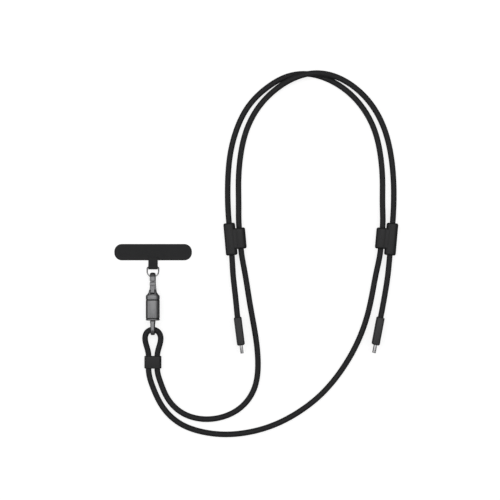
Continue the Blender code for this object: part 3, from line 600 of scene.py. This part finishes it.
def buildKeeper(s):
    # block of rounded rings across Y, y = half - r (1 - cos a) with the ring drawn in by r (1 - sin a), and
    # the two bores cut out of it
    half = s["length"] / 2
    along, inset = quarterRound(s["edge"], 7)
    upper = [
        (half - a, s["width"] - 2 * i, s["thickness"] - 2 * i, s["corner"] - i) for a, i in zip(along, inset)
    ]
    block = boxRows(upper + [(-y, *rest) for y, *rest in reversed(upper)], 16)
    bore = turned([(s["bore"] / 2, -half - overrun), (s["bore"] / 2, half + overrun)], 56)
    bores = [bore + (side * s["spacing"] / 2, 0, 0) for side in (-1, 1)]
    mesh = cut([block], bores, (*s["place"], s["thickness"] / 2))
    piece = finishPiece("loopKeeper", mesh, sliderPlastic, "cord_side", ["loop_keeper"])
    softEdges(piece, s["mouth"], 2)


buildKeeper(keeper)
print("sliders and keeper done")


plug = {
    "length": 23.3, "thickness": 6.5, "width": 11.0, "corner": 2.2, "rear": 0.9, "front": 1.4, "bore": 5.4,
    "socket": 3.0, "rim": 0.15, "pocketGap": 0.25, "pocketBevel": 0.05, "pocketDepth": 2.2,
    "mouthWidth": 8.3, "mouthThickness": 2.5, "mouthCorner": 1.15, "mouthReach": 6.7, "mouthSeat": 2.0,
    "mouthFloor": 1.0, "wall": 0.3, "linerGap": 0.02, "linerFront": 0.5, "linerBack": 0.9,
    "slot": (0.95, 6.9, 0.3), "slotFloor": 1.0, "contacts": 12, "pitch": 0.5, "strip": (0.12, 0.26, 0.03),
    "stripAside": 0.44, "stripFront": 0.9, "stripBack": 0.6,
    "places": {"left": (-15.4, -17.9, 7.2), "right": (103.0, -17.9, -10.8)},
}


def housingRows(s):
    # rear socket, rounded rear edge, straight sides, rounded front edge, and the pocket round the metal mouth
    socket = (s["bore"], s["bore"], s["bore"] / 2)
    rearEdge = [(-a, i) for a, i in zip(*quarterRound(s["rear"], 6))]
    frontEdge = [(a - s["length"], i) for a, i in zip(*quarterRound(s["front"], 7))][::-1]
    gap, bevel, front = s["pocketGap"], s["pocketBevel"], -s["length"]
    width, height = s["mouthThickness"] + 2 * gap, s["mouthWidth"] + 2 * gap
    pocket = np.array((width, height, width / 2 - bevel))
    inner = pocket - (2 * bevel, 2 * bevel, bevel)
    rows = [(-s["socket"], *socket), (-s["rim"], *socket)]
    edges = rearEdge + frontEdge
    rows += [(y, s["thickness"] - 2 * i, s["width"] - 2 * i, s["corner"] - i) for y, i in edges]
    rows += [(front, *pocket), (front + s["rim"], *inner), (front + s["pocketDepth"], *inner)]
    return boxRows(rows)


def mouthRows(s):
    # folded steel mouth: outside, lip rolled through a half turn, inside, floor
    width, height, corner, wall = s["mouthThickness"], s["mouthWidth"], s["mouthCorner"], s["wall"]
    front = -s["length"] - s["mouthReach"]
    rows = [(s["mouthSeat"] - s["length"], width, height, corner)]
    for angle in np.linspace(0, np.pi, 7):
        roll, back = wall * (1 - math.cos(angle)), wall / 2 * (1 - math.sin(angle))
        rows.append((front + back, width - roll, height - roll, corner - roll / 2))
    rows.append((s["mouthFloor"] - s["length"], width - 2 * wall, height - 2 * wall, corner - wall))
    return boxRows(rows)


def linerRows(s):
    # dark liner in the mouth, with the slot that a port's tongue goes into
    width, height = (s[side] - 2 * (s["wall"] + s["linerGap"]) for side in ("mouthThickness", "mouthWidth"))
    front, back = s["linerFront"] - s["length"] - s["mouthReach"], s["linerBack"] - s["length"]
    outside, slot = (width, height, width / 2 - s["linerGap"]), s["slot"]
    return boxRows([(back, *outside), (front, *outside), (front, *slot), (back - s["slotFloor"], *slot)])


def contactGrids(s):
    # a row of thin springs along each long side of the slot
    start, end = s["stripFront"] - s["length"] - s["mouthReach"], -s["length"] - s["stripBack"]
    strip = boxRows([(start, *s["strip"]), (end, *s["strip"])], 1)
    heights = (np.arange(s["contacts"]) - (s["contacts"] - 1) / 2) * s["pitch"]
    return [strip + (side * s["stripAside"], 0, z) for side in (-1, 1) for z in heights]


def buildPlug(name, s):
    # housing, metal mouth, liner and contacts, all turned and moved to the plug's place
    x, y, turnBy = s["places"][name]
    seat = (x, y, s["width"] / 2, turnBy)
    housing, mouth, liner = (placed(rows(s), *seat) for rows in (housingRows, mouthRows, linerRows))
    contacts = [placed(strip, *seat) for strip in contactGrids(s)]
    case, shell = name + "_plug_housing", name + "_plug_shell"
    return [
        buildPiece(name + "PlugHousing", [housing], plugPlastic, "cord_side", [case]),
        buildPiece(name + "PlugMouth", [mouth], steel, "cord_side", [shell]),
        buildPiece(name + "PlugLiner", [liner], insertPlastic, "cord_side", []),
        buildPiece(name + "PlugContacts", contacts, goldContacts, "cord_side"),
    ]


buildPlug("left", plug)
farPlug = buildPlug("right", plug)
print("plugs done")


clasp = {
    "place": (-85.5, 0.0, 5.75), "radius": 5.75, "chamfer": 0.35, "collar": 3.3, "gap": 0.5,
    "sleeve": 14.9, "sleeveBore": 4.9, "cap": 1.35, "capChamfer": 0.7, "capBore": 3.3, "capFloor": 0.1,
    "core": 5.42, "coreTop": -1.0, "coreShort": 0.3,
    "stem": 2.35, "stemGap": 0.3, "stemEdge": 0.2, "stemIn": 3.0,
    "eyeDrop": 7.55, "eyeBore": 2.8, "eyeWall": 1.8, "eyeThick": 3.9, "eyeHole": 7.2, "eyePower": 3.2,
    "eyeEdge": 0.5, "eyeBevel": 0.45, "eyeTop": 0.4, "shoulder": 4.0, "widenFrom": 3.6, "tuckFrom": 2.6,
    "tuck": 0.3, "holeHalf": 6.0,
}
hook = {
    "height": 19.1, "width": 4.7, "thick": 2.5, "power": 2.1, "shank": -3.85, "flare": 0.55, "flareTop": 9.6,
    "nose": 3.6, "noseEnd": 12.0, "noseRound": 0.3, "neck": 4.9, "neckWidth": 6.2, "neckDepth": 10.0,
    "neckEdge": 0.14, "slotGap": 0.3, "slotTop": 9.0, "slotTall": 12.0, "slotCorner": 0.25,
    "pin": (3.0, 3.15), "pinRadius": 0.7, "pinEdge": 0.2, "pinOut": 0.05,
    "gateWidth": 3.15, "gateRound": 1.7, "gateThick": 2.0, "gateHead": 2.6, "gateEdge": 0.45,
    "gateCorner": 0.32, "gateEase": 1.8, "gateSwell": 0.6, "tipGap": 0.8,
}


def edgeRows(radius, start, end, chamfer, chamferEnd=None):
    # outside of a barrel piece from start to end, with a rounded chamfer at each edge
    chamferEnd = chamferEnd or chamfer
    along, inset = quarterRound(chamfer, 5)
    alongEnd, insetEnd = quarterRound(chamferEnd, 5)
    way = 1 if end > start else -1
    rows = [(radius - i, start + way * a) for a, i in zip(along, inset)]
    return rows + [(radius - i, end - way * a) for a, i in zip(alongEnd[::-1], insetEnd[::-1])]


def atClasp(points):
    # moved from the clasp's own origin, which is the middle of the collar's top
    return points + np.array(clasp["place"])


def smoothStep(share):
    # 3 t^2 - 2 t^3
    return share * share * (3 - 2 * share)


def barrelPieces(s):
    # sleeve and cap below the collar, a gap apart, on a core whose near-black colour is painted shade and shows in
    # the two gaps
    sleeveTop = -s["collar"] - s["gap"]
    sleeveEnd = sleeveTop - s["sleeve"]
    capTop = sleeveEnd - s["gap"]
    capEnd = capTop - s["cap"]
    sleeve = edgeRows(s["radius"], sleeveTop, sleeveEnd, s["chamfer"])
    sleeve = [(s["sleeveBore"], sleeveTop)] + sleeve + [(s["sleeveBore"], sleeveEnd)]
    cap = edgeRows(s["radius"], capTop, capEnd, s["chamfer"], s["capChamfer"])
    hole, edge, floor = s["stem"] + s["stemGap"], s["stemEdge"], capTop + s["capFloor"]
    cap = [(s["capBore"], floor), (s["capBore"], capTop)] + cap
    cap += [(hole + edge, capEnd), (hole, capEnd + edge), (hole, floor)]
    shells = (("barrelSleeve", sleeve, "barrel_sleeve"), ("barrelEndCap", cap, "barrel_end_cap"))
    for name, profile, node in shells:
        grid = atClasp(turned(profile, 96))
        buildPiece(name, [grid], gunmetal, "clasp_side", [node], closeRows=True)
    # the core is coloured near-black as painted shade in the two gaps
    coreEnd = capTop - s["coreShort"]
    core = [(onAxis, s["coreTop"]), (s["core"], s["coreTop"]), (s["core"], coreEnd), (onAxis, coreEnd)]
    buildPiece("barrelShadeCore", [atClasp(turned(core))], paintedShadeCore, "clasp_side", [])
    return capEnd


def eyeRings(s):
    # superellipse rings across Y. The half depth is a circle round the cable and then narrows evenly to the
    # shoulder under the cap, where the round stem goes in. The half width grows with the square of the height
    # from the blade's to the stem's, and is drawn in by a square too at the lower end
    outer, top = s["eyeBore"] + s["eyeWall"], s["eyeDrop"] - s["eyeTop"]
    sideEnd = top - s["eyeEdge"]
    circle = outer * np.cos(np.linspace(math.pi - 0.04, math.pi / 2, 36))
    y = np.concatenate((circle, np.linspace(0, sideEnd, 16)[1:]))
    arcDepth = np.sqrt(np.maximum(outer**2 - y**2, 0.04))
    depth = np.where(y < 0, arcDepth, lerp(outer, s["shoulder"], y / top))
    widen = np.clip((y - s["widenFrom"]) / (sideEnd - s["widenFrom"]), 0, 1) ** 2
    tuck = s["tuck"] * np.clip((-y - s["tuckFrom"]) / (outer - s["tuckFrom"]), 0, 1) ** 2
    width = lerp(s["eyeThick"] / 2, s["stem"], widen) * (1 - tuck)
    along, inset = (part[::-1] for part in quarterRound(s["eyeEdge"]))
    rows = [(*row, s["eyePower"]) for row in zip(y, width, depth)]
    rows += [(top - a, s["stem"] - i, s["shoulder"] - i, s["eyePower"]) for a, i in zip(along, inset)]
    stem = s["stem"] - s["eyeEdge"]
    rows += [(top + 0.05, stem, stem, 2.0), (s["eyeDrop"] + s["stemIn"], stem, stem, 2.0)]
    return np.array([np.insert(oval(w, d, power, 48), 1, row, axis=1) for row, w, d, power in rows])


def buildEye(s, capEnd):
    # the lug with a long hole across it, in which the cable lies
    size = (s["eyeHole"], 2 * s["eyeBore"], s["eyeBore"] - 0.01)
    hole = boxRows([(-s["holeHalf"], *size), (s["holeHalf"], *size)], 14)[..., [1, 0, 2]]
    hole = hole + (0, s["eyeHole"] / 2 - s["eyeBore"], 0)
    middle = np.array(s["place"]) + (0, capEnd - s["eyeDrop"], 0)
    mesh = cut([eyeRings(s)], [hole], middle)
    eye = finishPiece("swivelEye", mesh, gunmetal, "cord_side", ["swivel_eye"])
    softEdges(eye, s["eyeBevel"], 4)


def hookArm(s):
    # shank, half-circle arch and nose as one line in the YZ plane, with a superellipse carried along it that
    # grows wider down the shank
    radius, middle = (s["nose"] - s["shank"]) / 2, (s["nose"] + s["shank"]) / 2
    archY = s["height"] - s["thick"] / 2 - radius
    swing = np.linspace(0, np.pi, 41)
    arch = np.stack((0 * swing, archY + radius * np.sin(swing), middle - radius * np.cos(swing)), axis=-1)
    along, inset = (part[::-1] for part in quarterRound(s["noseRound"]))
    shankY = np.linspace(s["neck"] / 2, archY, 24, endpoint=False)
    shank = np.stack((0 * shankY, shankY, 0 * shankY + s["shank"]), axis=-1)
    nose = np.stack((0 * along, s["noseEnd"] + along, 0 * along + s["nose"]), axis=-1)
    path = np.concatenate((shank, arch, nose))
    half = np.tile([s["thick"] / 2, s["width"] / 2], (len(path), 1))
    half[-len(nose):] -= inset[:, None]
    widen = (s["flareTop"] - shankY) / (s["flareTop"] - s["neck"])
    half[: len(shank), 1] += s["flare"] * np.clip(widen, 0, 1)
    return carried(path, oval(1.0, 1.0, s["power"], 40)[None] * half[:, None], (1, 0, 0))


def hookNeck(s, barrel):
    # flared neck: half width and half depth run from the barrel's radius to the cheeks, smoothly up its
    # height. Columns: share of the height, share of the way in width, share of the way in depth, superellipse's power
    rows = np.array([
        (-0.08, 0.03, 0.0, 2.0), (0.02, 0.10, 0.06, 2.05), (0.12, 0.30, 0.25, 2.15), (0.24, 0.48, 0.50, 2.3),
        (0.42, 0.72, 0.80, 2.55), (0.62, 0.90, 0.95, 2.8), (0.88, 1.0, 1.0, 2.8), (1.0, 1.10, 1.35, 2.8),
    ])
    rings = []
    for height, inWidth, inDepth, power in smoothThrough(rows, steps=5):
        halfWidth = lerp(barrel, s["neckWidth"] / 2, inWidth)
        halfDepth = lerp(barrel, s["neckDepth"] / 2, inDepth)
        rings.append(np.insert(oval(halfWidth, halfDepth, power, 64), 1, height * s["neck"], axis=1))
    return np.array(rings)


def buildHook(s, c):
    # neck with a slot for the gate's heel, arm, and the collar on the barrel
    pinY, pinZ = s["pin"]
    size = (s["gateWidth"] + 2 * s["slotGap"], s["slotTall"], s["slotCorner"])
    floorY, backZ = (at - s["gateRound"] - s["slotGap"] for at in (pinY, pinZ))
    slot = boxRows([(floorY, *size), (s["slotTop"], *size)], 3) + (0, 0, backZ + s["slotTall"] / 2)
    mesh = cut([hookNeck(s, c["radius"])], [slot], c["place"])
    neck = finishPiece("hookNeck", mesh, gunmetal, "clasp_side", ["clasp_hook"])
    softEdges(neck, s["neckEdge"], 3)
    buildPiece("hookArm", [atClasp(hookArm(s))], gunmetal, "clasp_side", [], 50)
    collar = edgeRows(c["radius"], 0.0, -c["collar"], c["chamfer"])
    collar = [(onAxis, 0.0)] + collar + [(onAxis, -c["collar"])]
    buildPiece("hookCollar", [atClasp(turned(collar, 96))], gunmetal, "clasp_side", [])


def gateGrid(s):
    # rows (y, half width, back, front) from the round heel, a circle about the pin, up to the wide head, with
    # smooth steps from heel to blade and from blade to head, as rounded rings
    tip = s["noseEnd"] - s["tipGap"] - s["pin"][0]
    front = heel = s["gateRound"]
    back, arm, head = front - s["gateThick"], s["gateWidth"] / 2, s["width"] / 2
    shoulder, swell = tip - s["gateHead"], s["gateSwell"]
    angle = np.radians(np.linspace(8, 90, 14))
    rows = [(-heel * math.cos(a), arm, -heel * math.sin(a), heel * math.sin(a)) for a in angle]
    steps, ease = np.linspace(0, 1, 9), s["gateEase"] * heel
    rows += [(ease * t, arm, lerp(-heel, back, smoothStep(t)), front) for t in steps[1:]]
    rows += [(shoulder - swell - 0.1, arm, back, front)]
    rows += [(shoulder + swell * (t - 1), lerp(arm, head, smoothStep(t)), back, front) for t in steps]
    along, inset = (part[::-1] for part in quarterRound(s["gateEdge"]))
    rows += [(tip - a, head - i / 2, back + i / 2, front - i) for a, i in zip(along, inset)]
    rings = []
    for y, half, low, high in rows:
        corner = min(s["gateCorner"] * (high - low), s["gateEdge"])
        ring = np.insert(roundedBox(2 * half, high - low, corner, 6), 1, y, axis=1)
        rings.append(ring + (0, 0, (high + low) / 2))
    return np.array(rings) + (0, *s["pin"])


def buildGate(s):
    # the gate, and its pin across both cheeks
    buildPiece("claspGate", [atClasp(gateGrid(s))], gunmetal, "gate", ["clasp_gate"], 45)
    half, radius = s["neckWidth"] / 2 + s["pinOut"], s["pinRadius"]
    ends = list(zip(*quarterRound(s["pinEdge"], 4)))
    profile = [(onAxis, -half)] + [(radius - i, -half + a) for a, i in ends]
    profile += [(radius - i, half - a) for a, i in reversed(ends)] + [(onAxis, half)]
    pin = turned(profile, 32)[..., [1, 0, 2]] + (0, *s["pin"])
    buildPiece("gatePin", [atClasp(pin)], gunmetal, "clasp_side", ["gate_pin"])


buildEye(clasp, barrelPieces(clasp))
buildHook(hook, clasp)
buildGate(hook)
print("clasp done")


ring = {"wire": 1.1, "width": 10.6, "bar": (23.45, 1.85), "foot": (15.5, 5.625), "step": 0.3}


def ringPath(s):
    # bar, two corner arcs and a half circle in the plane that holds the bar and the foot
    half = (s["width"] - s["wire"]) / 2
    drop = np.array(s["foot"]) - np.array(s["bar"])
    length = float(np.hypot(*drop))
    corner = s["wire"]
    quarter = np.linspace(0, np.pi / 2, 9)
    halfTurn = np.linspace(0, np.pi, 49)
    right = np.stack((half - corner + corner * np.sin(quarter), corner - corner * np.cos(quarter)), axis=-1)
    bow = np.stack((half * np.cos(halfTurn), length - half + half * np.sin(halfTurn)), axis=-1)
    flat = np.concatenate((right, bow, right[::-1] * (-1, 1)))
    flat = evenly(np.concatenate((flat, flat[:1])), s["step"])[0][:-1]
    down = drop / length
    path = np.column_stack((clasp["place"][0] + flat[:, 0], np.array(s["bar"]) + down * flat[:, 1:]))
    return path, np.array((0.0, -down[1], down[0]))


wirePath, wireNormal = ringPath(ring)
wire = carried(wirePath, roundedBox(ring["wire"], ring["wire"], ring["wire"] / 2, 5), wireNormal, True)
buildPiece("dRing", [wire], steel, "clasp_side", ["d_ring"], closeRows=True)

pad = {
    "place": (-85.5, 35.9), "width": 64.3, "height": 13.6, "thick": 1.0, "corner": 6.3, "edge": 0.3,
    "rings": (0.6, 6.0, 8), "tabWidth": 7.8, "tabThick": 0.98, "tabCorner": 0.22, "fold": ring["bar"],
    "foldRadius": 1.35, "over": ((31.5, 1.5), (29.4, 1.52), (27.6, 1.75), (25.4, 2.6)), "under": (29.0, 0.5),
    "step": 0.35,
}


def padGrid(s):
    # rounded plate: rings shrink over the rolled edge, then in towards the middle line of the top and bottom
    along, inset = quarterRound(s["edge"], 6)
    rows = list(zip(inset, along)) + [(i, s["thick"] - a) for a, i in zip(along[::-1], inset[::-1])]
    inner = np.linspace(*s["rings"])
    rows = [(i, 0.0) for i in inner[::-1]] + rows + [(i, s["thick"]) for i in inner]
    rings = []
    for i, z in rows:
        outline = roundedBox(s["width"] - 2 * i, s["height"] - 2 * i, max(s["corner"] - i, 0.1), 16)
        rings.append(np.insert(outline, 2, z, axis=1))
    return np.array(rings) + (*s["place"], 0)


def tabGrid(s):
    # a strap carried along its own side line: over the pad, round the ring's bar and back under
    (foldY, foldZ), bend = s["fold"], s["foldRadius"]
    swing = np.linspace(np.pi / 2, 1.5 * np.pi, 25)
    over = smoothThrough([*s["over"], (foldY, foldZ + bend)], (-1, 0), (-1, 0), 6)
    fold = np.stack((foldY + bend * np.cos(swing), foldZ + bend * np.sin(swing)), axis=-1)
    underEnd, underZ = s["under"]
    under = np.stack((np.linspace(foldY, underEnd, 8)[1:], np.full(7, underZ)), axis=-1)
    side, _ = evenly(np.concatenate((over[:-1], fold, under)), s["step"])
    path = np.insert(side, 0, s["place"][0], axis=1)
    return carried(path, roundedBox(s["tabThick"], s["tabWidth"], s["tabCorner"], 5), (1, 0, 0))


buildPiece("anchorPad", [padGrid(pad)], blackPad, "clasp_side", ["anchor_pad"], 50)
buildPiece("anchorTab", [tabGrid(pad)], blackPad, "clasp_side", [], 50)
print("ring, pad and tab done")


# metres, but for the camera's middle and frame, which are in millimetres as everything above
studio = {
    "flat": 2.0, "rim": 6.0, "rise": 2.4, "floorColour": (0.5, 0.5, 0.5), "floorRoughness": 0.9,
    "floorGlow": 0.75, "sides": 96, "fill": 0.25, "below": 0.13, "horizon": (-0.12, 0.02),
    "middle": (-5.1, 37.7), "frame": 415.0, "lens": 135.0, "sensor": 36.0, "aim": (-0.005, 0.035, 0),
    "lights": [
        {"at": (-0.005, 0.3, 1.65), "size": (3.4, 1.3), "glow": 1.15},
        {"at": (-1.85, 0.06, 0.7), "size": (1.4, 1.3), "glow": 0.95},
        {"at": (1.5, 0.06, 1.1), "size": (1.4, 0.7), "glow": 0.75},
    ],
}


def buildFloor(s):
    # round floor that curves up far away: height = rise ((r - flat) / (rim - flat))^2 outside its flat middle
    radius = np.concatenate(([onAxis, s["flat"] / 2], np.linspace(s["flat"], s["rim"], 24)))[:, None]
    height = s["rise"] * (np.maximum(radius - s["flat"], 0) / (s["rim"] - s["flat"])) ** 2
    angle = np.linspace(0, 2 * np.pi, s["sides"], endpoint=False)
    grid = np.stack((radius * np.cos(angle), radius * np.sin(angle), height + 0 * angle), axis=-1)
    mesh = bpy.data.meshes.new("floor")
    faces = gridFaces(*grid.shape[:2])[:, ::-1].tolist() + [list(range(s["sides"]))]
    mesh.from_pydata(grid.reshape(-1, 3), [], faces)
    mesh.shade_smooth()
    glow = {"Emission_Color": (1, 1, 1, 1), "Emission_Strength": s["floorGlow"], "Specular_IOR_Level": 0.0}
    mesh.materials.append(Finish("palePaper", s["floorColour"], s["floorRoughness"], **glow).material)
    floor = bpy.data.objects.new("floor", mesh)
    bpy.context.scene.collection.objects.link(floor)
    floor.visible_glossy = floor.visible_diffuse = False  # the paper lights no edge of the pieces


def buildLights(s):
    # soft boxes that face the lanyard and that the camera doesn't see
    for index, lamp in enumerate(s["lights"]):
        data = bpy.data.lights.new("softbox" + str(index), "AREA")
        data.shape, data.size, data.size_y = "RECTANGLE", *lamp["size"]
        data.energy = lamp["glow"] * math.pi * lamp["size"][0] * lamp["size"][1]  # a lamp of that radiance
        box = bpy.data.objects.new(data.name, data)
        box.location, box.visible_camera = lamp["at"], False
        box.rotation_euler = (Vector(s["aim"]) - box.location).to_track_quat("-Z", "Y").to_euler()
        bpy.context.scene.collection.objects.link(box)


def buildWorld(s):
    # even fill above the horizon and dark below it, with a straight run between them over a band of heights
    world = bpy.data.worlds.new("studio")
    bpy.context.scene.world = world
    world.use_nodes = True
    tree = world.node_tree
    background = tree.nodes["Background"]
    background.inputs["Color"].default_value = (1, 1, 1, 1)
    kinds = ("TexCoord", "SeparateXYZ", "MapRange")
    place, split, ramp = (tree.nodes.new("ShaderNode" + kind) for kind in kinds)
    low, high = s["horizon"]
    ends = {"From Min": low, "From Max": high, "To Min": s["below"], "To Max": s["fill"]}
    for socket, value in ends.items():
        ramp.inputs[socket].default_value = value
    tree.links.new(place.outputs["Generated"], split.inputs[0])
    tree.links.new(split.outputs["Z"], ramp.inputs["Value"])
    tree.links.new(ramp.outputs[0], background.inputs["Strength"])


def buildCamera(s):
    # straight above the frame's middle, at the height frame * lens / sensor
    camera = bpy.data.objects.new("camera", bpy.data.cameras.new("camera"))
    camera.data.lens, camera.data.sensor_width, camera.data.clip_end = s["lens"], s["sensor"], 20.0
    camera.location = np.array((*s["middle"], s["frame"] * s["lens"] / s["sensor"])) * mm
    bpy.context.scene.collection.objects.link(camera)
    bpy.context.scene.camera = camera
    bpy.context.scene.view_settings.view_transform = "Standard"


for part in (buildFloor, buildLights, buildWorld, buildCamera):
    part(studio)
print("studio ready")
